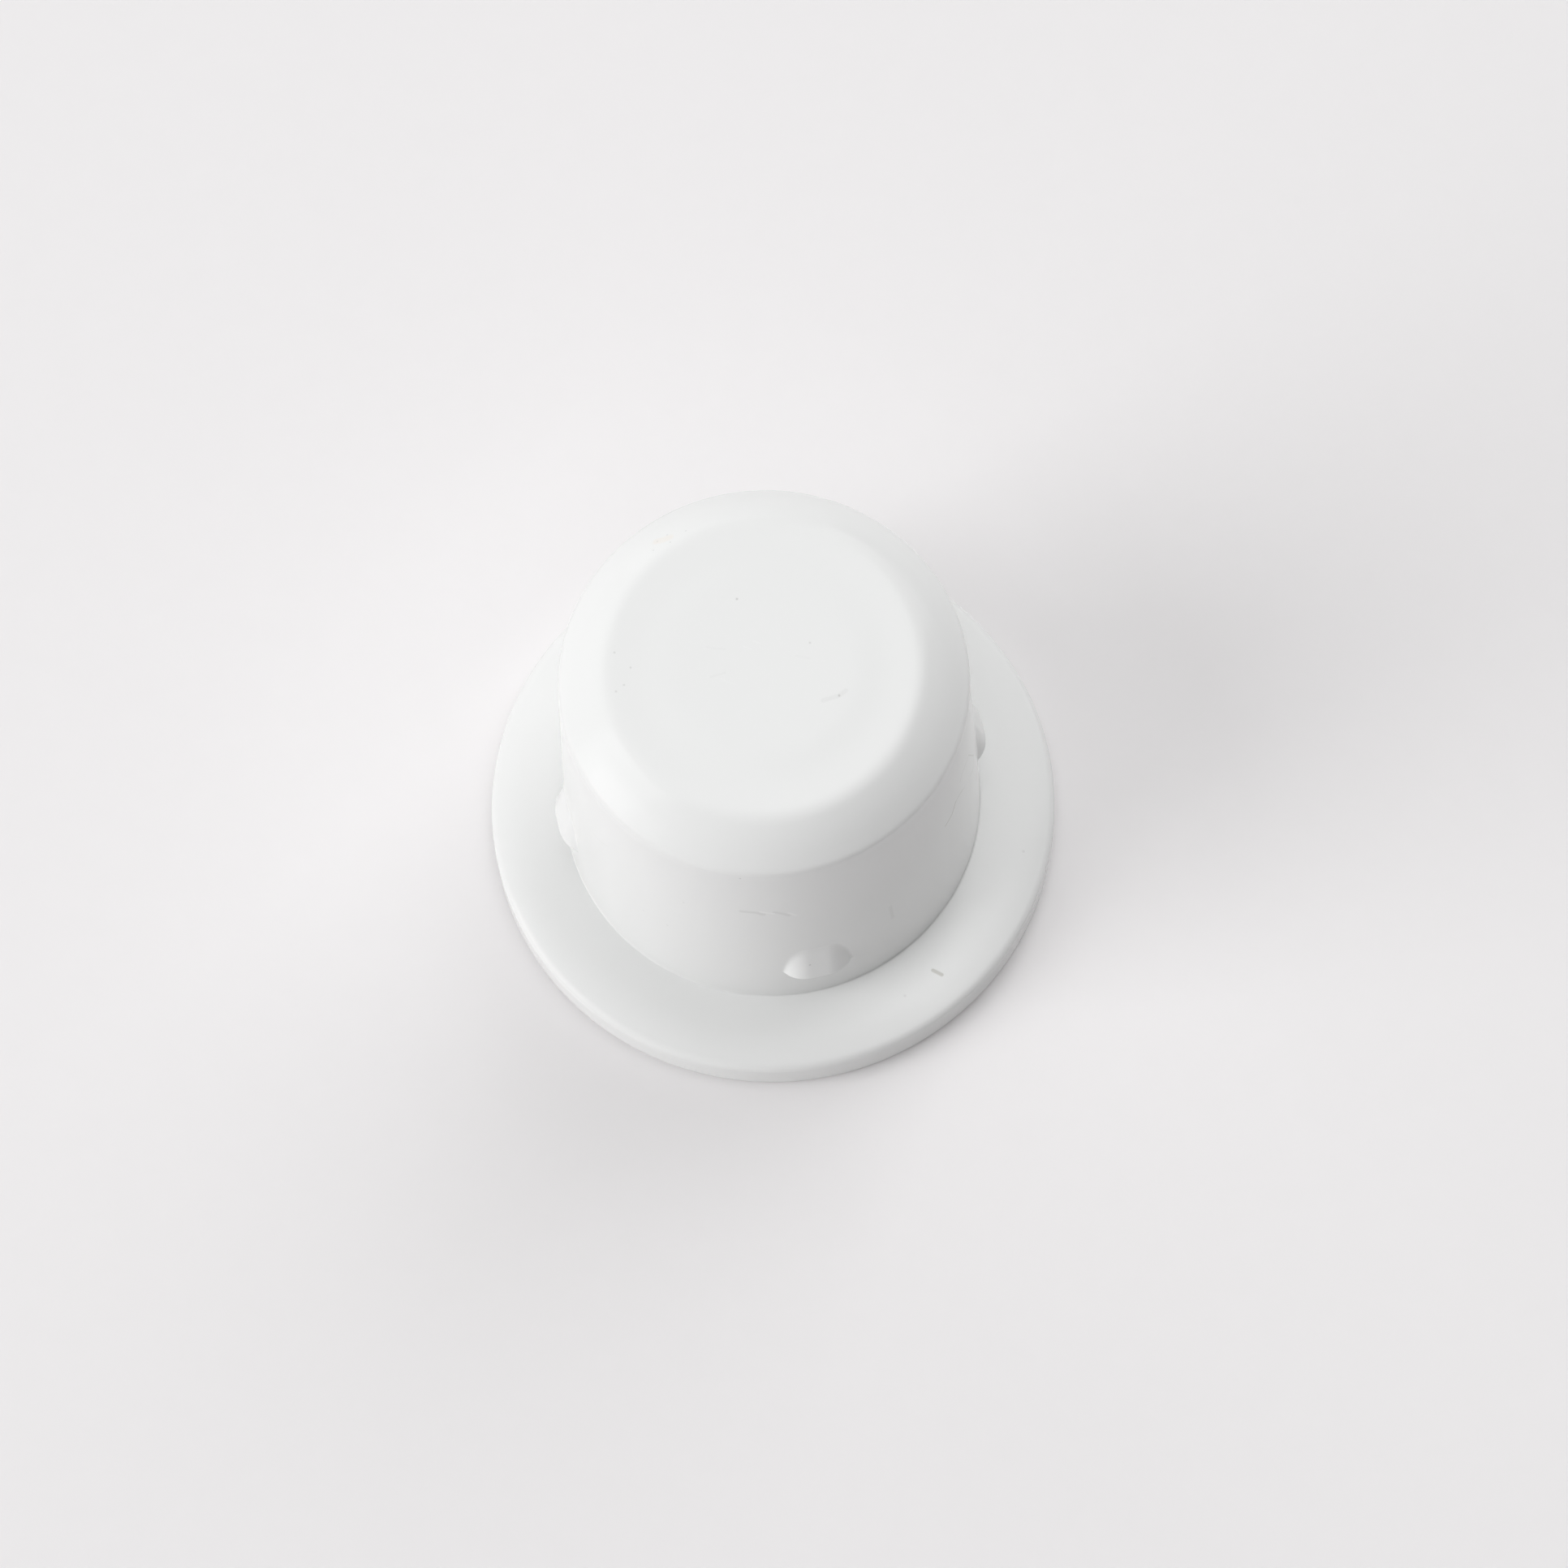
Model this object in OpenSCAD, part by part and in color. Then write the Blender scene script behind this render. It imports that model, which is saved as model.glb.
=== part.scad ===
// Door grommet: a white moulded hinge bush in the shape of a hat.
// The plug pushes up into a round hole until the flange meets the panel, nubs on
// the plug's wall snap behind the panel, and a hinge pin turns in the blind bore.
// Millimetres, +Z up, origin at the centre of the flange's underside.

/* [Plug] */
// Diameter of the plug where its wall meets the flange
plug_d = 12.5; // [11:0.1:15]
// Height of the whole grommet, from the flange's underside to the closed top
height = 12.8; // [10:0.1:18]
// Lean of the plug's wall towards the axis, in degrees
draft = 2.5; // [0:0.1:4]
// Width of the sloping shoulder, across the axis
shoulder_w = 1.35; // [0.9:0.05:2]
// Height of the sloping shoulder, along the axis
shoulder_h = 1.1; // [0.5:0.05:1.6]
// How far the middle of the shoulder stands above a straight slope
shoulder_bulge = 0.15; // [0.02:0.01:0.2]
// Radius of the edge between the closed top and the shoulder
top_edge_r = 0.8; // [0.1:0.05:1]
// Radius of the edge between the shoulder and the wall
shoulder_edge_r = 0.4; // [0.1:0.05:1]

/* [Flange] */
// How far the flange reaches past the plug's wall
brim_w = 2.25; // [1.9:0.05:4]
// Thickness of the flange beside the plug
flange_t = 1.65; // [1.2:0.05:2.4]
// Width of the outer band of the flange that falls away to the rim
crown_w = 0.65; // [0.5:0.05:1.4]
// Drop of that band at the rim
crown_drop = 0.25; // [0.05:0.05:0.4]
// Radius of the rim's upper edge
rim_r = 0.3; // [0.1:0.05:0.4]
// Radius of the rim's lower edge
foot_r = 0.25; // [0.05:0.05:0.3]
// Radius of the fillet between the flange and the wall
root_r = 0.05; // [0.05:0.05:0.3]

/* [Nubs] */
// Number of nubs, evenly spaced around the wall
nub_count = 4; // [2:1:6]
// Width of a nub around the wall, at its lower edge
nub_w = 2.2; // [1.4:0.1:2.8]
// Height of a nub along the wall
nub_h = 1.55; // [1:0.05:4]
// How far a nub stands out of the wall at its lower edge
nub_proud = 0.35; // [0.1:0.01:0.5]
// Width of the flat middle of a nub, between its rounded sides
nub_flat_w = 0.45; // [0.1:0.05:0.6]
// Clear gap between a nub and the flange, for the edge of the panel
panel_gap = 2; // [0.6:0.05:2.4]

/* [Pin bore] */
// Diameter of the blind bore for the hinge pin
bore_d = 6.5; // [4:0.1:8]
// Thickness of the closed end above the bore
end_wall = 2.2; // [1.6:0.1:4]
// Size of the bevel at the mouth of the bore
lead_in = 0.5; // [0.2:0.1:1]
// Radius of the corner at the closed end of the bore
bore_end_r = 0.5; // [0.1:0.1:1]

/* [Hidden] */
$fn = 128;
// Shapes run this far past the faces that they open or join
overlap = 1;
// The piece at a rounded corner reaches this far into its neighbour
lap = 0.02;
// A gentle bend takes up this share of the straight stretch that is free beside it
bend_share = 0.9;
plug_r = plug_d / 2;
flange_r = plug_r + brim_w;
rim_z = flange_t - crown_drop;
crown_slope = atan(crown_drop / crown_w);
crown_free = norm([crown_w, crown_drop]) - cut(rim_r, 90 - crown_slope);
flat_free = brim_w - crown_w - cut(root_r, 90 - draft);
crown_r = gentle_round(min(crown_free, flat_free), crown_slope);
shoulder_z = height - shoulder_h;
shoulder_r = wall_r(shoulder_z);
top_r = shoulder_r - shoulder_w;
// The shoulder falls in two slopes of equal width, with a gentle bend between them
slope_w = shoulder_w / 2;
upper_h = shoulder_h / 2 - shoulder_bulge;
lower_h = shoulder_h / 2 + shoulder_bulge;
upper_slope = atan(upper_h / slope_w);
lower_slope = atan(lower_h / slope_w);
upper_free = norm([slope_w, upper_h]) - cut(top_edge_r, upper_slope);
lower_free = norm([slope_w, lower_h]) - cut(shoulder_edge_r, 90 - draft - lower_slope);
shoulder_bend_r = gentle_round(min(upper_free, lower_free), lower_slope - upper_slope);
bore_r = bore_d / 2;
bore_depth = height - end_wall;
// A nub is a ramp that leaves the wall at its top and leans out to its lower edge, which
// catches the panel. The wall falls away at its sides, so they are deeper than its middle
nub_z = flange_t + panel_gap;
nub_wall_r = wall_r(nub_z);
nub_lean = draft + asin(nub_proud * cos(draft) / nub_h);
nub_side_h = nub_proud + nub_wall_r - sqrt(pow(nub_wall_r, 2) - pow(nub_w / 2, 2));
nub_side_w = (nub_w - nub_flat_w) / 2;
nub_side_r = (pow(nub_side_w, 2) + pow(nub_side_h, 2)) / (2 * nub_side_h);
ramp_edge = nub_flat_w / 2 + nub_side_r;
ramp_sink = nub_side_r + overlap;
// Corners of the section from the axis outwards and up: radius, height, round
hat_corners = [
    [0, 0, 0],
    [flange_r, 0, foot_r],
    [flange_r, rim_z, rim_r],
    [flange_r - crown_w, flange_t, crown_r],
    [plug_r, flange_t, root_r],
    [shoulder_r, shoulder_z, shoulder_edge_r],
    [top_r + slope_w, height - upper_h, shoulder_bend_r],
    [top_r, height, top_edge_r],
    [0, height, 0],
];
ramp_corners = [
    [-ramp_sink, -ramp_edge, 0],
    [nub_proud, -ramp_edge, nub_side_r],
    [nub_proud, ramp_edge, nub_side_r],
    [-ramp_sink, ramp_edge, 0],
];
bore_corners = [
    [0, -overlap, 0],
    [bore_r + lead_in + overlap, -overlap, 0],
    [bore_r, lead_in, 0],
    [bore_r, bore_depth, bore_end_r],
    [0, bore_depth, 0],
];

// Radius of the plug's wall at a height
function wall_r(z) = plug_r - (z - flange_t) * tan(draft);

// Length that a round takes from each side of a corner where the outline turns by an angle
function cut(r, turn) = r * tan(turn / 2);
// Round that takes its share of a free length from each side of such a corner
function gentle_round(free, turn) = bend_share * free / tan(turn / 2);

function unit(v) = v / norm(v);
function point(corner) = [corner[0], corner[1]];
// Directions from corner b to the corners before and after it
function sides(a, b, c) = [unit(point(a) - point(b)), unit(point(c) - point(b))];
function half_angle(s) = acos(s[0] * s[1]) / 2;
// Whether the outline, taken anticlockwise, turns outwards at a corner
function is_outer(s) = s[1][0] * s[0][1] - s[1][1] * s[0][0] > 0;
// Centre of the round at corner b
function round_centre(b, s) = point(b) + unit(s[0] + s[1]) * b[2] / sin(half_angle(s));
// Points where the round at corner b meets the two straight sides
function tangent_points(b, s) = [for (side = s) point(b) + side * b[2] / tan(half_angle(s))];

// The piece of a round's disc that lies in the triangle at corner b, and a lap beyond it
module corner_round(b, s) {
    ends = tangent_points(b, s);
    lap_point = (ends[0] + ends[1]) / 2 + unit(s[0] + s[1]) * lap;
    intersection() {
        translate(round_centre(b, s)) circle(b[2]);
        polygon([ends[0], point(b), ends[1], lap_point]);
    }
}

// Closed outline through corners of the form x, y, round: each rounded corner is cut
// straight across, then its round is added outside or taken away inside
module rounded_outline(corners) {
    count = len(corners);
    turns = [
        for (i = [0 : count - 1])
            sides(corners[(i + count - 1) % count], corners[i], corners[(i + 1) % count])
    ];
    rounded = [for (i = [0 : count - 1]) if (corners[i][2] > 0) i];
    difference() {
        union() {
            polygon([
                for (i = [0 : count - 1])
                    each corners[i][2] > 0 ? tangent_points(corners[i], turns[i]) : [point(corners[i])]
            ]);
            for (i = rounded)
                if (is_outer(turns[i])) corner_round(corners[i], turns[i]);
        }
        for (i = rounded)
            if (!is_outer(turns[i])) corner_round(corners[i], turns[i]);
    }
}

// One snap nub on the +X side
module nub() {
    translate([nub_wall_r, 0, nub_z]) rotate([0, -nub_lean, 0])
        linear_extrude(nub_h + overlap) rounded_outline(ramp_corners);
}

module door_grommet() {
    color("whitesmoke")
        difference() {
            union() {
                rotate_extrude() rounded_outline(hat_corners);
                for (turn = [0 : nub_count - 1])
                    rotate([0, 0, turn * 360 / nub_count]) nub();
            }
            rotate_extrude() rounded_outline(bore_corners);
        }
}

door_grommet();
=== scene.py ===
"""Dresses the door grommet: a glossy white moulded bush that lies brim down on white paper.

The turned skin, its snap nubs and its pin bore are one closed surface, and one finish covers it
with the gloss, handling scuffs, flecks and stain that the bush has picked up, and painted shade
and painted glints along its scratches. Lengths are in millimetres, and become metres where they
reach a mesh, a lamp or the camera.
"""

import logging
import math
from dataclasses import dataclass, field
from enum import Enum
from typing import Any

import bpy
import numpy as np
from mathutils import Matrix, Vector


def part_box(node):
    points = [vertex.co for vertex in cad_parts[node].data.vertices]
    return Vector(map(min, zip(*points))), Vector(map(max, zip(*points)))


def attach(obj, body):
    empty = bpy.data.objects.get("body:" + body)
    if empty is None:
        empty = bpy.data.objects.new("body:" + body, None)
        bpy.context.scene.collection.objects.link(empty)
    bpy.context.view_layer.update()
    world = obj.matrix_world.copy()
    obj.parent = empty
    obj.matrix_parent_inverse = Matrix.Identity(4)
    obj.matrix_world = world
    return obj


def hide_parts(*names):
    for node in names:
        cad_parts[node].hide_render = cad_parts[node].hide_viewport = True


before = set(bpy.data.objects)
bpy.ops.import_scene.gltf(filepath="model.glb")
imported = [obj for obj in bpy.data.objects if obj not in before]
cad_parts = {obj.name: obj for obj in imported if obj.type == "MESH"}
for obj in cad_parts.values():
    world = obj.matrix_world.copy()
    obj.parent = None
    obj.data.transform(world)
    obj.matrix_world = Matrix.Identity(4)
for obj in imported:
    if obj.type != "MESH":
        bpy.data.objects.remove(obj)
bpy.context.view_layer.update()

MM = 0.001
NODE = "door_grommet"
LOG = logging.getLogger(NODE)
BODY = "root"
SLOT = "white_moulding"
# Lengths and angles that differ by less than this count as equal
HAIR = 1e-9
Pixel = tuple[float, float]


class Graph:
    """A node tree that is filled by short calls."""

    def __init__(self, tree: bpy.types.NodeTree) -> None:
        """Takes over a tree and empties it."""
        self.tree = tree
        tree.nodes.clear()

    def add(self, kind: str, inputs: dict[Any, Any] | None = None, **settings: Any) -> bpy.types.Node:
        """Adds a node.

        Args:
            kind: Blender's name of the node type.
            inputs: sockets to fill, by name or place, each with a plain value or another socket.
            settings: properties of the node itself.

        Returns:
            The new node.
        """
        node = self.tree.nodes.new(kind)
        for name, value in settings.items():
            setattr(node, name, value)
        for key, value in (inputs or {}).items():
            self.fill(node.inputs[key], value)
        return node

    def fill(self, socket: bpy.types.NodeSocket, value: Any) -> None:
        """Links a socket to another one, or gives it a plain value."""
        if isinstance(value, bpy.types.NodeSocket):
            self.tree.links.new(value, socket)
        else:
            socket.default_value = value

    def math(self, operation: str, *values: Any, clamp: bool = False) -> bpy.types.NodeSocket:
        """Works out one number.

        Args:
            operation: Blender's name of the sum.
            values: its inputs, as sockets or plain numbers.
            clamp: whether the result is kept between 0 and 1.

        Returns:
            The socket that holds the result.
        """
        node = self.add("ShaderNodeMath", dict(enumerate(values)), operation=operation, use_clamp=clamp)
        return node.outputs[0]

    def vector(self, operation: str, *values: Any) -> bpy.types.NodeSocket:
        """Works out one vector, or the number that a dot product or a length gives.

        Args:
            operation: Blender's name of the sum.
            values: its inputs, as sockets or plain vectors.

        Returns:
            The socket that holds the result.
        """
        node = self.add("ShaderNodeVectorMath", dict(enumerate(values)), operation=operation)
        return node.outputs["Value" if operation in ("DOT_PRODUCT", "LENGTH") else "Vector"]

    def ramp(self, value: Any, low: Any, high: Any, bottom: Any = 0.0,
             top: Any = 1.0) -> bpy.types.NodeSocket:
        """Eases a number from bottom to top as it passes from low to high.

        Args:
            value: the number, as a socket.
            low: where the ease begins.
            high: where it ends.
            bottom: result below low.
            top: result above high.

        Returns:
            The socket that holds the result.
        """
        inputs = {"Value": value, "From Min": low, "From Max": high, "To Min": bottom, "To Max": top}
        return self.add("ShaderNodeMapRange", inputs, interpolation_type="SMOOTHSTEP").outputs["Result"]

    def noise(self, place: Any, scale: float, detail: float = 2.0) -> bpy.types.NodeSocket:
        """Gives noise around 0.5.

        Args:
            place: coordinates in millimetres.
            scale: lumps per millimetre.
            detail: octaves of finer lumps.

        Returns:
            The socket that holds the noise.
        """
        inputs = {"Vector": place, "Scale": scale, "Detail": detail}
        return self.add("ShaderNodeTexNoise", inputs).outputs[0]

    def blend(self, share: Any, first: Any, second: Any) -> bpy.types.NodeSocket:
        """Mixes two colours.

        Args:
            share: how much of the second colour shows, from 0 to 1.
            first: colour at 0.
            second: colour at 1.

        Returns:
            The socket that holds the mixed colour.
        """
        # The node has sockets of the same names for numbers and vectors before those for colours
        inputs = {0: share, 6: first, 7: second}
        return self.add("ShaderNodeMix", inputs, data_type="RGBA", blend_type="MIX").outputs[2]


@dataclass(frozen=True)
class PhotoCamera:
    """The camera that took the picture, found from the rims of the bush.

    Attributes:
        picture_px: side of the square picture.
        focal_px: focal length in pixels of the picture.
        elevation: how steeply the camera looks down, in degrees.
        roll: lean of the picture, in degrees.
        turn: how far the front nub is turned from the camera's own direction, in degrees.
        foot_px: pixel at which the centre of the flange's underside shows.
        distance: from the camera to that centre.
        film: width of the film in the camera.
    """

    picture_px: float = 1932.0
    focal_px: float = 6000.0
    elevation: float = 70.5
    roll: float = -3.9
    turn: float = -9.5
    foot_px: Pixel = (953.3, 1004.1)
    distance: float = 148.2
    film: float = 36.0

    def axes(self) -> np.ndarray:
        """Works out the camera's own directions.

        Returns:
            Three rows: the directions to the right, up and back from the picture.
        """
        lift, lean, turn = np.radians([self.elevation, self.roll, self.turn])
        level = np.array([
            [1.0, 0.0, 0.0],
            [0.0, math.sin(lift), math.cos(lift)],
            [0.0, -math.cos(lift), math.sin(lift)],
        ])
        rolled = np.array([
            [math.cos(lean), math.sin(lean), 0.0],
            [-math.sin(lean), math.cos(lean), 0.0],
            [0.0, 0.0, 1.0],
        ])
        about_axis = np.array(Matrix.Rotation(turn, 3, "Z"))
        return rolled @ level @ about_axis.T

    def look(self, pixel: Pixel) -> np.ndarray:
        """Gives the direction in which a pixel looks, at unit depth before the camera."""
        middle = self.picture_px / 2
        across = (pixel[0] - middle) / self.focal_px
        down = (pixel[1] - middle) / self.focal_px
        return np.array([across, -down, -1.0]) @ self.axes()

    def place(self) -> np.ndarray:
        """Gives the camera's place: the foot's own line of sight, followed back from the origin."""
        return -self.look(self.foot_px) * self.distance

    def spot(self, piece: bpy.types.Object, pixel: Pixel) -> Vector:
        """Finds the point of a piece that shows at a pixel.

        Args:
            piece: the piece to look at.
            pixel: where to look in the picture.

        Returns:
            The first point that the pixel's line of sight meets.
        """
        start = Vector(self.place() * MM)
        hit, point, _, _ = piece.ray_cast(start, Vector(self.look(pixel)).normalized())
        if not hit:
            raise ValueError(f"pixel {pixel} misses {piece.name}")
        return point

    def build(self) -> bpy.types.Object:
        """Makes the camera.

        Returns:
            The camera's object.
        """
        data = bpy.data.cameras.new("photo_camera")
        data.sensor_width = self.film
        data.lens = self.film * self.focal_px / self.picture_px
        data.clip_start = 0.001
        data.clip_end = 20.0
        camera = bpy.data.objects.new("photo_camera", data)
        pose = Matrix(self.axes().T.tolist()).to_4x4()
        pose.translation = Vector(self.place() * MM)
        camera.matrix_world = pose
        bpy.context.collection.objects.link(camera)
        bpy.context.scene.camera = camera
        return camera


class Tone(Enum):
    """Colours of what has marked the plastic, and of the painted shade and painted glints along its
    scratches, as linear red, green and blue.
    """

    STAIN = (0.85, 0.62, 0.38, 1.0)
    GRIT = (0.10, 0.095, 0.09, 1.0)
    # Painted shade: grey laid along scratches where their hollows fall into shade
    PAINTED_SHADE = (0.40, 0.40, 0.39, 1.0)
    # Painted glint: white laid along the lit edges of scratches
    PAINTED_GLINT = (1.0, 1.0, 1.0, 1.0)
    FIBRE = (0.24, 0.22, 0.15, 1.0)


@dataclass(frozen=True)
class Mark:
    """A fleck, fibre or stain on the plastic, or the painted shade or glint along a scratch, placed by
    pixels of the picture.

    Attributes:
        tone: colour of the mark.
        strength: how much of the colour shows, from 0 to 1.
        width: width across the mark.
        path: pixels that it runs through, of which a round fleck has only one.
    """

    tone: Tone
    strength: float
    width: float
    path: tuple[Pixel, ...]

    def stretches(self) -> list[tuple[Pixel, Pixel]]:
        """Gives the straight stretches of the path."""
        return list(zip(self.path, self.path[1:] or self.path))


def flecks(strength: float, width: float, *spots: Pixel) -> list[Mark]:
    """Gives round flecks of grit at some pixels."""
    return [Mark(Tone.GRIT, strength, width, (spot,)) for spot in spots]


CLOSED_TOP_MARKS = [
    *flecks(0.24, 0.10, (908, 738), (1034, 857)),
    *flecks(0.15, 0.09, (757, 804), (777, 822.5), (769, 844), (759, 852), (998, 792)),
    # Painted shade: the grey marks here darken faint scratches on the closed top
    Mark(Tone.PAINTED_SHADE, 0.08, 0.18, ((1014, 863), (1034, 857), (1042, 851))),
    Mark(Tone.STAIN, 0.10, 0.34, ((809, 667), (818, 665), (825, 662))),
    Mark(Tone.PAINTED_SHADE, 0.03, 0.10, ((871, 797), (880, 799), (893, 800))),
    Mark(Tone.PAINTED_SHADE, 0.04, 0.10, ((876, 834), (893, 829))),
    Mark(Tone.PAINTED_SHADE, 0.03, 0.09, ((981, 808), (997, 811))),
    # Painted glints: the white marks here lighten the lit edges of faint scratches
    Mark(Tone.PAINTED_GLINT, 0.08, 0.08, ((916, 796), (925, 800))),
    Mark(Tone.PAINTED_GLINT, 0.08, 0.08, ((929, 790), (937, 793))),
    Mark(Tone.PAINTED_GLINT, 0.06, 0.08, ((888, 837), (906, 843))),
    *flecks(0.12, 0.08, (845, 654), (805, 678), (822, 659), (810, 667), (826, 668)),
]
WALL_MARKS = [
    # Painted shade: the grey marks on the wall darken the scratch across the front and two smaller ones
    Mark(Tone.PAINTED_SHADE, 0.16, 0.24, ((914, 1123), (931, 1124.5), (940, 1127))),
    # Painted glints: the white marks on the wall lighten the lit edges of the scratch
    Mark(Tone.PAINTED_GLINT, 0.30, 0.14, ((937, 1123.5), (953, 1126))),
    Mark(Tone.PAINTED_SHADE, 0.14, 0.20, ((955, 1124), (967, 1126.5), (972, 1128))),
    Mark(Tone.PAINTED_GLINT, 0.25, 0.14, ((972, 1125), (981, 1128))),
    Mark(Tone.PAINTED_SHADE, 0.10, 0.16, ((1097, 1117), (1100, 1131))),
    Mark(Tone.PAINTED_SHADE, 0.06, 0.08, ((731, 1027), (740, 1037), (749, 1043))),
    *flecks(0.25, 0.09, (912, 1082.5), (998, 1189)),
    *flecks(0.12, 0.09, (793, 1122), (822, 1140), (842, 1112), (706, 959)),
    Mark(Tone.FIBRE, 0.20, 0.07, ((1199.5, 931), (1193.5, 930.5), (1186, 951), (1183, 963))),
    Mark(Tone.FIBRE, 0.24, 0.07, ((1199.5, 931), (1198.5, 949), (1183.5, 977), (1177.5, 988))),
    Mark(Tone.FIBRE, 0.34, 0.09, ((1177.5, 988), (1173, 1003.5), (1165, 1017.5))),
]
FLANGE_MARKS = [
    Mark(Tone.FIBRE, 0.34, 0.15, ((1149.5, 1195.5), (1160.5, 1201))),
    *flecks(0.10, 0.12, (1115, 1227), (1261, 1049)),
]
MARKS = CLOSED_TOP_MARKS + WALL_MARKS + FLANGE_MARKS


def mark_group() -> bpy.types.NodeTree:
    """Makes the node group that masks a mark along a line.

    The mask is Strength near the line from Start to End, and falls to 0 at half the Width from
    it. The nearest point of the line is Start + (End - Start) * share, where share is the dot
    product of the place and the line, over the line's squared length, kept between 0 and 1.

    Returns:
        The group.
    """
    tree = bpy.data.node_groups.new("mark_along_a_line", "ShaderNodeTree")
    for name in ("Place", "Start", "End"):
        tree.interface.new_socket(name, in_out="INPUT", socket_type="NodeSocketVector")
    for name in ("Width", "Strength"):
        tree.interface.new_socket(name, in_out="INPUT", socket_type="NodeSocketFloat")
    tree.interface.new_socket("Mask", in_out="OUTPUT", socket_type="NodeSocketFloat")
    graph = Graph(tree)
    given = graph.add("NodeGroupInput").outputs
    reach = graph.vector("SUBTRACT", given["Place"], given["Start"])
    line = graph.vector("SUBTRACT", given["End"], given["Start"])
    along = graph.vector("DOT_PRODUCT", reach, line)
    span = graph.vector("DOT_PRODUCT", line, line)
    share = graph.math("DIVIDE", along, span, clamp=True)
    step = graph.add("ShaderNodeVectorMath", {0: line, "Scale": share}, operation="SCALE").outputs[0]
    miss = graph.vector("LENGTH", graph.vector("SUBTRACT", reach, step))
    edge = graph.math("MULTIPLY", given["Width"], 0.5)
    core = graph.math("MULTIPLY", edge, 0.4)
    mask = graph.ramp(miss, core, edge, given["Strength"], 0.0)
    graph.add("NodeGroupOutput", {"Mask": mask})
    return tree


@dataclass(frozen=True)
class WhiteMoulding:
    """The finish of the bush: glossy white plastic, lightly scuffed.

    Attributes:
        colour: white of the plastic.
        gloss: strength of the gloss.
        roughness: blur of the gloss on clean plastic.
        scuffed: blur of the gloss where the closed top is scuffed.
        streak_turn: direction of the scuffs around the axis, in degrees.
        streak_scale: scuffs per millimetre along them, across them and up.
        streak_edge: levels of noise at which a scuff begins and is full.
        top_depth: depths below the closed top's highest point at which scuffs end and are full.
    """

    colour: tuple[float, float, float, float] = (0.84, 0.845, 0.84, 1.0)
    gloss: float = 0.13
    roughness: float = 0.16
    scuffed: float = 0.24
    streak_turn: float = -14.0
    streak_scale: tuple[float, float, float] = (0.35, 9.0, 1.0)
    streak_edge: tuple[float, float] = (0.56, 0.64)
    top_depth: tuple[float, float] = (0.1, 0.05)

    def material(self, marks: list[tuple[Mark, Vector, Vector]], top: float) -> bpy.types.Material:
        """Makes the material.

        Args:
            marks: each stretch of a mark, as the mark and two points on the part, in metres.
            top: height of the closed top.

        Returns:
            The material.
        """
        material = bpy.data.materials.new(SLOT)
        material.use_nodes = True
        graph = Graph(material.node_tree)
        object_place = graph.add("ShaderNodeTexCoord").outputs["Object"]
        scale = {"Vector": object_place, "Scale": (1 / MM,) * 3}
        place = graph.add("ShaderNodeMapping", scale).outputs["Vector"]

        scuffs = self.scuffs(graph, place, top)
        colour = self.colour
        # Lays each tone over the white plastic: grit, fibre and stain, and the painted shade and painted
        # glints of scratches
        for tone in Tone:
            masks = [m for m in marks if m[0].tone is tone]
            if masks:
                colour = graph.blend(self.mask(graph, place, masks), colour, tone.value)

        rough = graph.ramp(scuffs, 0.0, 1.0, self.roughness, self.scuffed)
        shader = {"Base Color": colour, "Roughness": rough, "Specular IOR Level": self.gloss}
        plastic = graph.add("ShaderNodeBsdfPrincipled", shader)
        graph.add("ShaderNodeOutputMaterial", {"Surface": plastic.outputs["BSDF"]})
        return material

    def scuffs(self, graph: Graph, place: bpy.types.NodeSocket, top: float) -> bpy.types.NodeSocket:
        """Masks the fine rubbed streaks on the closed top.

        Args:
            graph: where the nodes go.
            place: coordinates in millimetres.
            top: height of the closed top.

        Returns:
            The socket that holds the mask.
        """
        turn = (0.0, 0.0, math.radians(self.streak_turn))
        turned = {"Vector": place, "Rotation": turn, "Scale": self.streak_scale}
        streaks = graph.noise(graph.add("ShaderNodeMapping", turned).outputs["Vector"], 1.0, 4.0)
        height = graph.add("ShaderNodeSeparateXYZ", {0: place}).outputs["Z"]
        on_top = graph.ramp(height, *(top - depth for depth in self.top_depth))
        return graph.math("MULTIPLY", graph.ramp(streaks, *self.streak_edge), on_top)

    @staticmethod
    def mask(graph: Graph, place: bpy.types.NodeSocket, marks: list[tuple[Mark, Vector, Vector]]) -> Any:
        """Joins the masks of marks that have one tone.

        Args:
            graph: where the nodes go.
            place: coordinates in millimetres.
            marks: each stretch of a mark, as the mark and two points, in metres.

        Returns:
            The socket that holds the largest of the masks.
        """
        group = bpy.data.node_groups.get("mark_along_a_line") or mark_group()
        joined = 0.0
        for mark, start, end in marks:
            line = {"Place": place, "Start": start / MM, "End": end / MM}
            sizes = {"Width": mark.width, "Strength": mark.strength}
            node = graph.add("ShaderNodeGroup", line | sizes, node_tree=group)
            joined = graph.math("MAXIMUM", node.outputs["Mask"], joined)
        return joined


# Bend of a corner that is rounded as far as the stretches beside it allow
GENTLE = math.inf


@dataclass(frozen=True)
class Corner:
    """A corner of the turned section.

    Attributes:
        radius: distance from the axis.
        height: height above the flange's underside.
        bend: radius of the round at the corner, 0 for a sharp one, or GENTLE for one that takes
            up most of the straight stretch that is free beside it.
        gap: spacing of the rows on the straight stretch after the corner.
    """

    radius: float
    height: float
    bend: float = 0.0
    gap: float = 0.4


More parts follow.
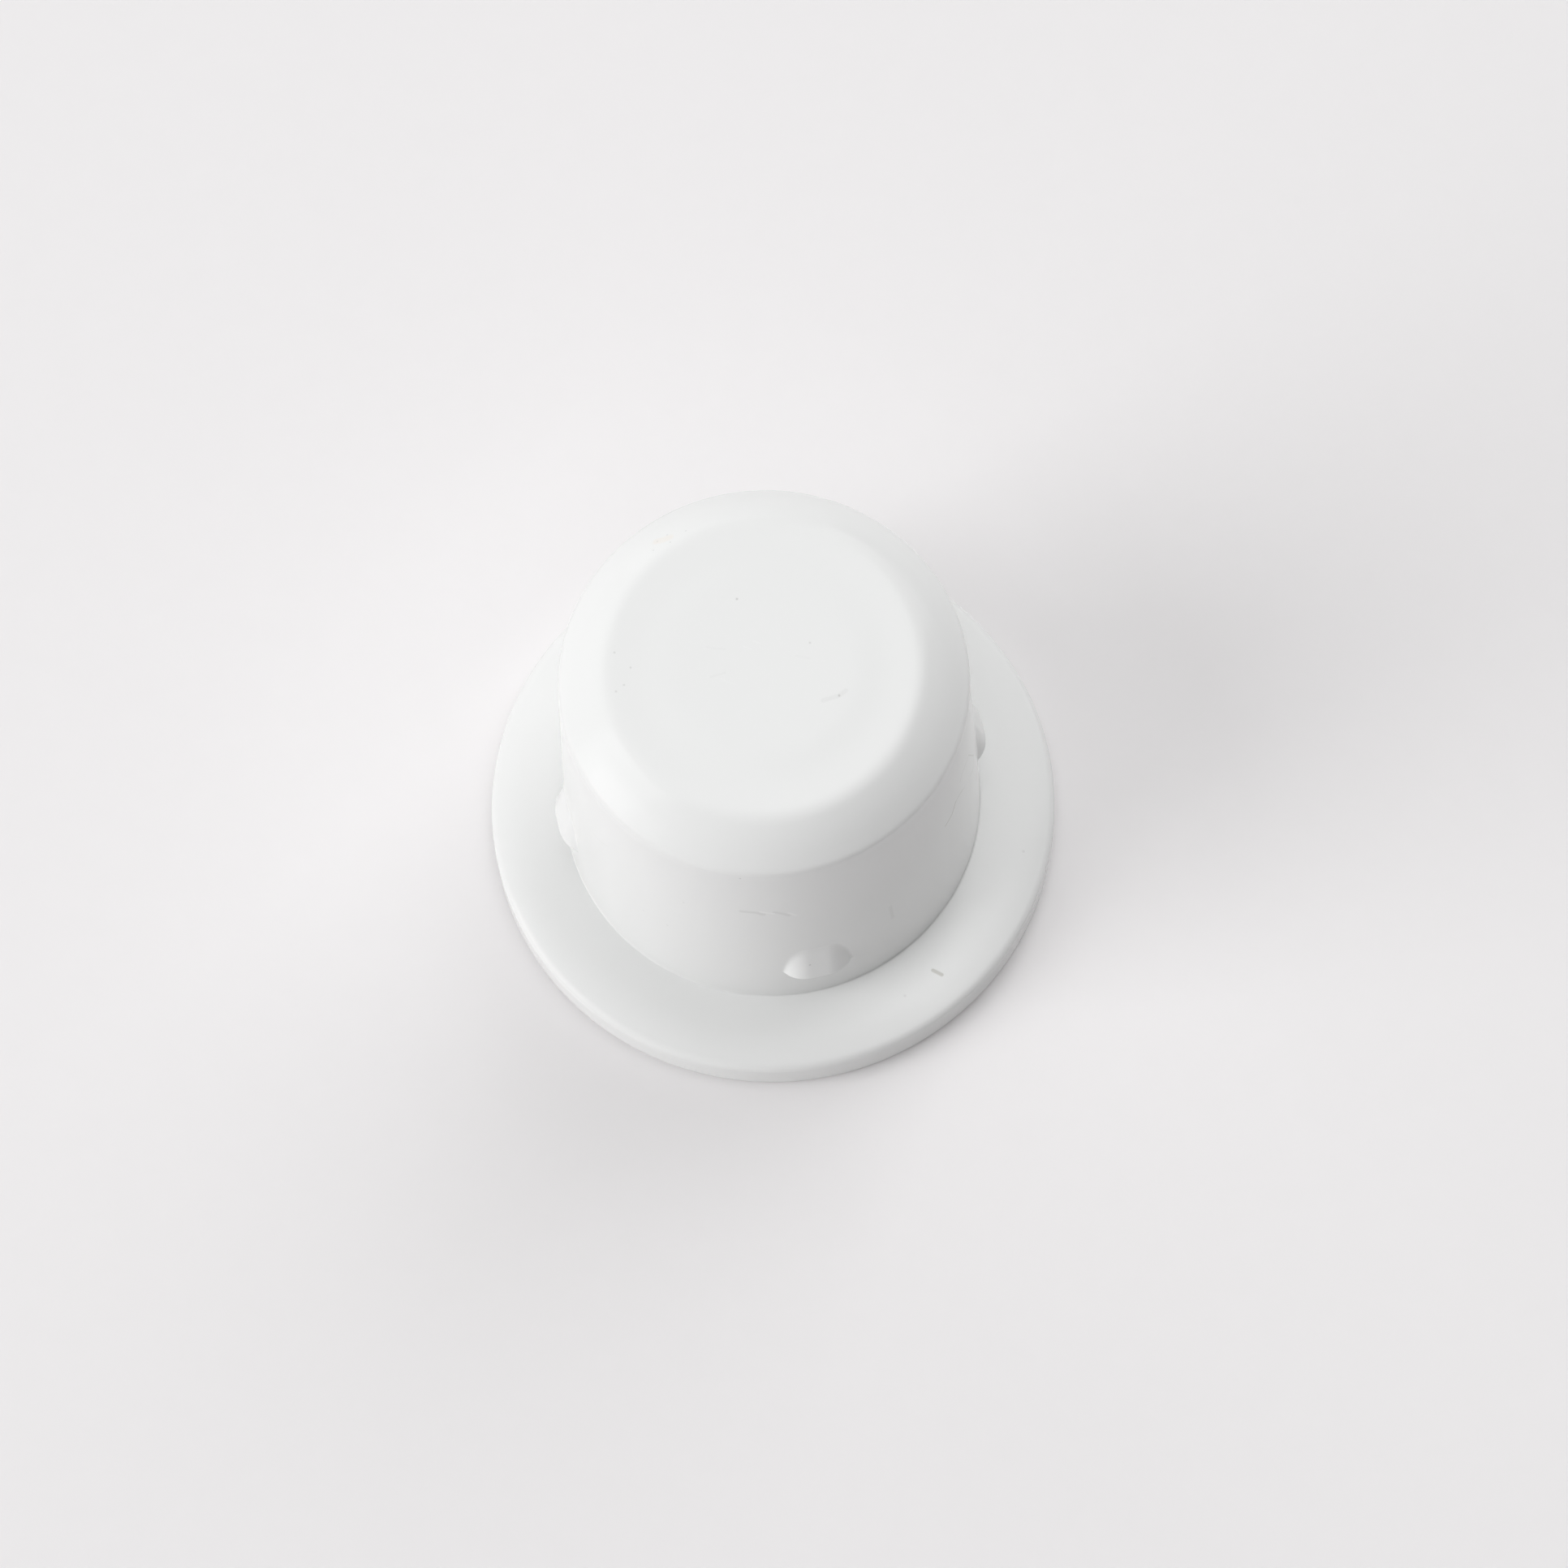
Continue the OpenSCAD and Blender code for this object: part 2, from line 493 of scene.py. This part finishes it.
def rounded_path(corners: list[Corner], arc_gap: float = 8.0, arc_points: int = 5,
                 share: float = 0.9) -> np.ndarray:
    """Follows a section and rounds its corners.

    A corner with a bend becomes an arc that touches both sides. The arc's ends lie bend / tan(half
    the corner's angle) from the corner, its centre lies bend / sin(half the angle) along the
    line that halves the corner, and its points are the centre plus bend times unit vectors that
    turn evenly from one end to the other. A straight stretch is filled at its own spacing.

    Args:
        corners: corners in order along the section.
        arc_gap: largest turn between points of an arc, in degrees.
        arc_points: fewest points of an arc.
        share: share of the free straight stretch that a gentle bend takes.

    Returns:
        Points of the form radius, height.
    """
    points = np.array([[c.radius, c.height] for c in corners])
    steps = np.diff(points, axis=0)
    lengths = np.linalg.norm(steps, axis=1)
    ahead = steps / lengths[:, None]
    halves = np.zeros(len(corners))
    halves[1:-1] = np.arccos(np.sum(-ahead[:-1] * ahead[1:], axis=1)) / 2
    bends = np.array([c.bend for c in corners])
    cuts = np.where((bends > 0) & (bends < GENTLE), bends, 0) / np.tan(np.maximum(halves, HAIR))
    for i in np.flatnonzero(bends == GENTLE):
        cuts[i] = share * min(lengths[i - 1] - cuts[i - 1], lengths[i] - cuts[i + 1])
        bends[i] = cuts[i] * math.tan(halves[i])

    path = [points[:1]]
    for i in range(1, len(corners)):
        run = points[i:i + 1]
        if bends[i] > 0:
            middle = (ahead[i] - ahead[i - 1]) / np.linalg.norm(ahead[i] - ahead[i - 1])
            centre = points[i] + middle * bends[i] / math.sin(halves[i])
            ends = [points[i] + way * cuts[i] - centre for way in (-ahead[i - 1], ahead[i])]
            angles = [math.atan2(end[1], end[0]) for end in ends]
            sweep = (angles[1] - angles[0] + math.pi) % (2 * math.pi) - math.pi
            count = max(arc_points, math.ceil(abs(math.degrees(sweep)) / arc_gap) + 1)
            turn = angles[0] + np.linspace(0, sweep, count)
            run = centre + bends[i] * np.stack([np.cos(turn), np.sin(turn)], axis=1)
        start = path[-1][-1]
        count = max(1, math.ceil(np.linalg.norm(run[0] - start) / corners[i - 1].gap))
        along = np.linspace(0, 1, count + 1)[1:-1, None]
        path.extend([start + (run[0] - start) * along, run])
    return np.concatenate(path)


def soft_max(first: np.ndarray, second: np.ndarray, blend: float) -> np.ndarray:
    """Gives the larger of two values, plus (blend - difference) squared / (4 * blend) near a tie."""
    near = np.clip(blend - np.abs(first - second), 0, None)
    return np.maximum(first, second) + near ** 2 / (4 * blend)


def ease(value: np.ndarray, low: float, high: float) -> np.ndarray:
    """Eases from 0 at low to 1 at high along 3 t squared - 2 t cubed."""
    t = np.clip((value - low) / (high - low), 0, 1)
    return t * t * (3 - 2 * t)


@dataclass(frozen=True)
class SnapNub:
    """A snap nub: a ramp with rounded sides that leaves the wall and leans out to its lower edge.

    Attributes:
        count: nubs around the wall.
        width: width around the wall, at the lower edge.
        height: height along the wall.
        proud: how far the lower edge stands out of the wall.
        flat: width of the flat middle, between the rounded sides.
        gap: clear gap above the flange.
        edge: width of the soft turn from the ramp to its underside.
        blend: width of the soft join with the wall.
        reach: half of the angle that the fine columns span around a nub, in degrees.
    """

    count: int = 4
    width: float = 2.2
    height: float = 1.55
    proud: float = 0.35
    flat: float = 0.45
    gap: float = 2.0
    edge: float = 0.12
    blend: float = 0.06
    reach: float = 13.0

    def columns(self, fine: float = 0.45, coarse: float = 1.6) -> np.ndarray:
        """Gives the angles of the skin's columns: fine ones across each nub, coarse ones between.

        Args:
            fine: largest step across a nub, in degrees.
            coarse: largest step between nubs, in degrees.

        Returns:
            Angles of one whole turn, in radians.
        """
        pitch = 360 / self.count
        across = np.linspace(-self.reach, self.reach, math.ceil(2 * self.reach / fine) + 1)
        rest = pitch - 2 * self.reach
        between = self.reach + np.linspace(0, rest, math.ceil(rest / coarse) + 1)[1:-1]
        one = np.concatenate([across, between])
        return np.radians((np.arange(self.count)[:, None] * pitch + one).ravel())

    def rows(self, foot: float, over: float = 0.2, lip: float = 0.35,
             under: float = 0.1) -> list[tuple[float, float]]:
        """Gives where the skin's rows change their spacing: fine on the ramp, finest at its edge.

        Args:
            foot: height at which the underside meets the wall.
            over: how far above the ramp the fine rows begin.
            lip: how far above the foot the finest rows begin.
            under: how far below the foot they end.

        Returns:
            Heights and the spacings that begin there, from the top down.
        """
        return [(foot + self.height + over, 0.05), (foot + lip, 0.015), (foot - under, 0.2)]

    def raise_wall(self, radius: np.ndarray, height: np.ndarray, angle: np.ndarray, foot: float,
                   wall_radius: float, draft: float) -> np.ndarray:
        """Lifts the wall over the nubs.

        The ramp is a plane that leans by draft + asin(proud cos(draft) / height), so it loses
        tan(lean) of its distance from the axis per unit of height. The underside is square to it
        and starts from the wall at the foot. A side drops below the ramp along a circle that
        touches the ramp and meets the wall at half the width. A plane at a distance x is met at
        x / cos(a) along a line that is turned from the nub's own direction by a. The result is
        the soft maximum of that and the wall, up to where the ramp has sunk into the wall.

        Args:
            radius: radius of the wall at each row and column.
            height: height at each row and column.
            angle: angle at each row and column.
            foot: height at which the underside meets the wall.
            wall_radius: radius of the wall there.
            draft: lean of the wall, in radians.

        Returns:
            The new radius at each row and column.
        """
        lean = draft + math.asin(self.proud * math.cos(draft) / self.height)
        half = self.width / 2
        depth = self.proud + wall_radius - math.sqrt(wall_radius ** 2 - half ** 2)
        side_width = half - self.flat / 2
        side = (side_width ** 2 + depth ** 2) / (2 * depth)
        pitch = 2 * math.pi / self.count
        aside = (angle + pitch / 2) % pitch - pitch / 2
        ramp = wall_radius + self.proud / math.cos(lean) - (height - foot) * math.tan(lean)
        under = wall_radius + (height - foot) / math.tan(lean)
        beyond = np.clip(np.abs(ramp * np.tan(aside)) - self.flat / 2, 0, None)
        drop = side - np.sqrt(np.clip(side ** 2 - beyond ** 2, 0, None))
        crest = -soft_max(drop / math.cos(lean) - ramp, -under, self.edge) / np.cos(aside)
        there = (beyond < side) & (height < foot + self.height + self.blend)
        return soft_max(radius, np.where(there, crest, 0), self.blend)


@dataclass
class Grommet:
    """The whole bush: plug, sloping shoulder, closed top, flange, nubs and pin bore.

    Attributes:
        plug_radius: radius of the plug beside the flange.
        draft: lean of the wall, in degrees.
        shoulder_width: width of the sloping shoulder.
        shoulder_height: height of the sloping shoulder.
        shoulder_bulge: how far the shoulder's middle stands above a straight slope.
        top_edge: round between the closed top and the shoulder.
        shoulder_edge: round between the shoulder and the wall.
        flange_thickness: thickness of the flange beside the plug.
        crown_width: width of the outer band that falls to the rim.
        crown_drop: drop of that band.
        rim_edge: round of the rim's upper edge.
        foot_edge: round of the rim's lower edge.
        root: fillet between the flange and the wall.
        bore_radius: radius of the pin bore.
        end_wall: thickness of the closed end.
        lead_in: bevel at the mouth of the bore.
        bore_corner: round at the closed end of the bore.
        disc_radius: radius of the faint raised disc on the closed top.
        disc_rise: rise of that disc.
        disc_edge: width of its sloping edge.
        nub: the snap nubs.
        finish: the plastic.
    """

    plug_radius: float = 6.25
    draft: float = 2.5
    shoulder_width: float = 1.35
    shoulder_height: float = 1.1
    shoulder_bulge: float = 0.15
    top_edge: float = 0.8
    shoulder_edge: float = 0.4
    flange_thickness: float = 1.65
    crown_width: float = 0.65
    crown_drop: float = 0.25
    rim_edge: float = 0.3
    foot_edge: float = 0.25
    root: float = 0.05
    bore_radius: float = 3.25
    end_wall: float = 2.2
    lead_in: float = 0.5
    bore_corner: float = 0.5
    disc_radius: float = 3.05
    disc_rise: float = 0.05
    disc_edge: float = 1.1
    nub: SnapNub = field(default_factory=SnapNub)
    finish: WhiteMoulding = field(default_factory=WhiteMoulding)

    def __post_init__(self) -> None:
        """Takes the height and the flange's radius from the frame."""
        low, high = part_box(NODE)
        self.height: float = (high[2] - low[2]) / MM
        self.flange_radius: float = (high[0] - low[0]) / 2 / MM

    @property
    def nub_foot(self) -> float:
        """Gives the height at which the underside of a nub meets the wall."""
        return self.flange_thickness + self.nub.gap

    def wall(self, height: float) -> float:
        """Gives the radius of the wall at a height."""
        return self.plug_radius - (height - self.flange_thickness) * math.tan(math.radians(self.draft))

    def section(self) -> np.ndarray:
        """Follows the section from the closed top, down the outside and up into the bore.

        Returns:
            Points of the form radius, height, from the axis to the axis.
        """
        top = self.height - self.disc_rise
        shoulder = top - self.shoulder_height
        slope = self.shoulder_width / 2
        upper = self.shoulder_height / 2 - self.shoulder_bulge
        rim = self.flange_thickness - self.crown_drop
        bore_end = self.height - self.end_wall
        return rounded_path([
            Corner(0, top, gap=0.12),
            Corner(self.wall(shoulder) - 2 * slope, top, self.top_edge, 0.15),
            Corner(self.wall(shoulder) - slope, top - upper, GENTLE, 0.15),
            Corner(self.wall(shoulder), shoulder, self.shoulder_edge, 0.4),
            *[Corner(self.wall(z), z, gap=gap) for z, gap in self.nub.rows(self.nub_foot)],
            Corner(self.plug_radius, self.flange_thickness, self.root, 0.15),
            Corner(self.flange_radius - self.crown_width, self.flange_thickness, GENTLE, 0.15),
            Corner(self.flange_radius, rim, self.rim_edge, 0.2),
            Corner(self.flange_radius, 0, self.foot_edge, 0.5),
            Corner(self.bore_radius + self.lead_in, 0, gap=0.25),
            Corner(self.bore_radius, self.lead_in, gap=0.6),
            Corner(self.bore_radius, bore_end, self.bore_corner, 0.4),
            Corner(0, bore_end),
        ])

    def skin(self) -> tuple[np.ndarray, np.ndarray, np.ndarray]:
        """Turns the section about the axis and raises the nubs.

        A row's point at angle a is (radius cos a, radius sin a, height). The closed top rises by
        disc_rise inside the ring at disc_radius.

        Returns:
            The points in metres, the quads between rows, and the triangles around the two poles.
        """
        path = self.section()
        angle = self.nub.columns()[None, :]
        radius = np.repeat(path[1:-1, :1], angle.size, axis=1)
        height = np.repeat(path[1:-1, 1:], angle.size, axis=1)
        wall_radius, draft = self.wall(self.nub_foot), math.radians(self.draft)
        lifted = self.nub.raise_wall(radius, height, angle, self.nub_foot, wall_radius, draft)
        outside = np.arange(len(path) - 2)[:, None] < int(np.argmax(path[:, 0])) - 1
        radius = np.where(outside, lifted, radius)
        on_top = height > path[0, 1] - HAIR
        edge = self.disc_radius + self.disc_edge * np.array([-0.5, 0.5])
        inside = 1 - ease(radius, *edge)
        height = height + np.where(on_top, self.disc_rise * inside, 0)
        ring = np.stack([radius * np.cos(angle), radius * np.sin(angle), height], axis=2).reshape(-1, 3)
        poles = np.array([[0, 0, self.height], [0, 0, path[-1, 1]]])
        points = np.concatenate([ring, poles]) * MM

        rows, columns = radius.shape
        here = np.arange(rows * columns).reshape(rows, columns)
        beside = np.roll(here, -1, axis=1)
        quads = np.stack([here[:-1], here[1:], beside[1:], beside[:-1]], axis=2).reshape(-1, 4)
        first, last = np.full(columns, rows * columns), np.full(columns, rows * columns + 1)
        caps = np.concatenate([
            np.stack([first, here[0], beside[0]], axis=1),
            np.stack([last, beside[-1], here[-1]], axis=1),
        ])
        return points, quads, caps

    def build(self) -> bpy.types.Object:
        """Makes the bush's mesh and puts it in place of the frame's solid.

        Returns:
            The piece.
        """
        points, quads, caps = self.skin()
        mesh = bpy.data.meshes.new("moulded_bush")
        mesh.from_pydata(points.tolist(), [], quads.tolist() + caps.tolist())
        mesh.polygons.foreach_set("use_smooth", np.ones(len(mesh.polygons), dtype=bool))
        mesh.update()
        piece = bpy.data.objects.new("moulded_bush", mesh)
        bpy.context.collection.objects.link(piece)
        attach(piece, BODY)
        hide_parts(NODE)
        bpy.context.view_layer.update()
        return piece

    def dress(self, piece: bpy.types.Object, camera: PhotoCamera) -> None:
        """Gives the bush its finish.

        Args:
            piece: the bush.
            camera: the camera that places the marks.
        """
        marks = [
            (mark, camera.spot(piece, start), camera.spot(piece, end))
            for mark in MARKS
            for start, end in mark.stretches()
        ]
        piece.data.materials.append(self.finish.material(marks, self.height))


@dataclass(frozen=True)
class Softbox:
    """A soft lamp that faces the bush.

    Attributes:
        name: what the lamp is called.
        azimuth: direction around the axis, in degrees: 0 is the picture's right, 90 its back.
        elevation: height above the floor, in degrees.
        width: width of the lamp.
        height: height of the lamp.
        power: power of the lamp, in watts.
        distance: from the bush.
    """

    name: str
    azimuth: float
    elevation: float
    width: float
    height: float
    power: float
    distance: float = 500.0

    def build(self, turn: float) -> None:
        """Makes the lamp.

        Args:
            turn: turn of the picture about the axis, in degrees.
        """
        data = bpy.data.lights.new(self.name, "AREA")
        data.shape = "RECTANGLE"
        data.size = self.width * MM
        data.size_y = self.height * MM
        data.energy = self.power
        around, lift = math.radians(self.azimuth + turn), math.radians(self.elevation)
        level = math.cos(lift)
        away = Vector((math.cos(around) * level, math.sin(around) * level, math.sin(lift)))
        lamp = bpy.data.objects.new(self.name, data)
        lamp.location = away * self.distance * MM
        lamp.rotation_mode = "QUATERNION"
        lamp.rotation_quaternion = away.to_track_quat("Z", "Y")
        lamp.visible_camera = False
        bpy.context.collection.objects.link(lamp)


@dataclass
class Studio:
    """White paper under soft lamps.

    Attributes:
        paper: colour of the paper.
        paper_side: side of the paper.
        grain_scale: lumps of the paper's grain per metre.
        grain_shade: brightness of the darker grain, as a share of the paper's.
        backdrop: brightness of the pale backdrop beyond the paper, which gives no light.
        lamps: the soft lamps.
    """

    paper: tuple[float, float, float, float] = (0.86, 0.845, 0.85, 1.0)
    paper_side: float = 700.0
    grain_scale: float = 900.0
    grain_shade: float = 0.985
    backdrop: float = 0.85
    lamps: tuple[Softbox, ...] = (
        Softbox("left_lamp", 194, 28, 270, 520, 1.36),
        Softbox("low_left_lamp", 205, 12, 300, 200, 0.47),
        Softbox("back_lamp", 52, 38, 350, 500, 1.08),
        Softbox("back_left_lamp", 97, 18, 500, 320, 0.5),
        Softbox("front_left_lamp", 240, 32, 400, 400, 0.17),
        Softbox("top_lamp", 307, 83, 500, 500, 1.18),
        Softbox("high_back_lamp", 90, 68, 300, 300, 0.2),
    )

    def build(self, turn: float) -> bpy.types.Object:
        """Lays the paper and lights it.

        Args:
            turn: turn of the picture about the axis, in degrees.

        Returns:
            The paper.
        """
        half = self.paper_side / 2 * MM
        corners = [(-half, -half, 0), (half, -half, 0), (half, half, 0), (-half, half, 0)]
        mesh = bpy.data.meshes.new("paper")
        mesh.from_pydata(corners, [], [range(len(corners))])
        paper = bpy.data.objects.new("paper", mesh)
        bpy.context.collection.objects.link(paper)
        paper.data.materials.append(self.paper_material())
        for lamp in self.lamps:
            lamp.build(turn)
        self.hang_backdrop()
        return paper

    def paper_material(self) -> bpy.types.Material:
        """Makes the paper's material.

        Returns:
            The material.
        """
        material = bpy.data.materials.new("white_paper")
        material.use_nodes = True
        graph = Graph(material.node_tree)
        place = graph.add("ShaderNodeTexCoord").outputs["Object"]
        grain = graph.noise(place, self.grain_scale, 3.0)
        darker = tuple(c * self.grain_shade for c in self.paper[:3]) + (1.0,)
        colour = graph.blend(grain, self.paper, darker)
        shader = {"Base Color": colour, "Roughness": 0.9, "Specular IOR Level": 0.2}
        sheet = graph.add("ShaderNodeBsdfPrincipled", shader)
        graph.add("ShaderNodeOutputMaterial", {"Surface": sheet.outputs["BSDF"]})
        return material

    def hang_backdrop(self) -> None:
        """Makes a world that gives no light and shows the camera a pale backdrop."""
        world = bpy.data.worlds.new("studio")
        world.use_nodes = True
        graph = Graph(world.node_tree)
        seen = graph.add("ShaderNodeLightPath").outputs["Is Camera Ray"]
        strength = graph.math("MULTIPLY", seen, self.backdrop)
        light = graph.add("ShaderNodeBackground", {"Color": (1.0, 1.0, 1.0, 1.0), "Strength": strength})
        graph.add("ShaderNodeOutputWorld", {"Surface": light.outputs["Background"]})
        bpy.context.scene.world = world


def main() -> None:
    """Builds the bush, the studio and the camera, in that order."""
    logging.basicConfig(level=logging.INFO, format="%(name)s: %(message)s")
    bpy.context.scene.view_settings.view_transform = "Standard"
    camera = PhotoCamera()
    grommet = Grommet()
    piece = grommet.build()
    LOG.info("%s: %d faces", piece.name, len(piece.data.polygons))
    grommet.dress(piece, camera)
    LOG.info("%s: %d marks", SLOT, len(MARKS))
    paper = Studio().build(camera.turn)
    LOG.info("%s laid and lit", paper.name)
    LOG.info("%s set", camera.build().name)


if __name__ == "__main__":
    main()
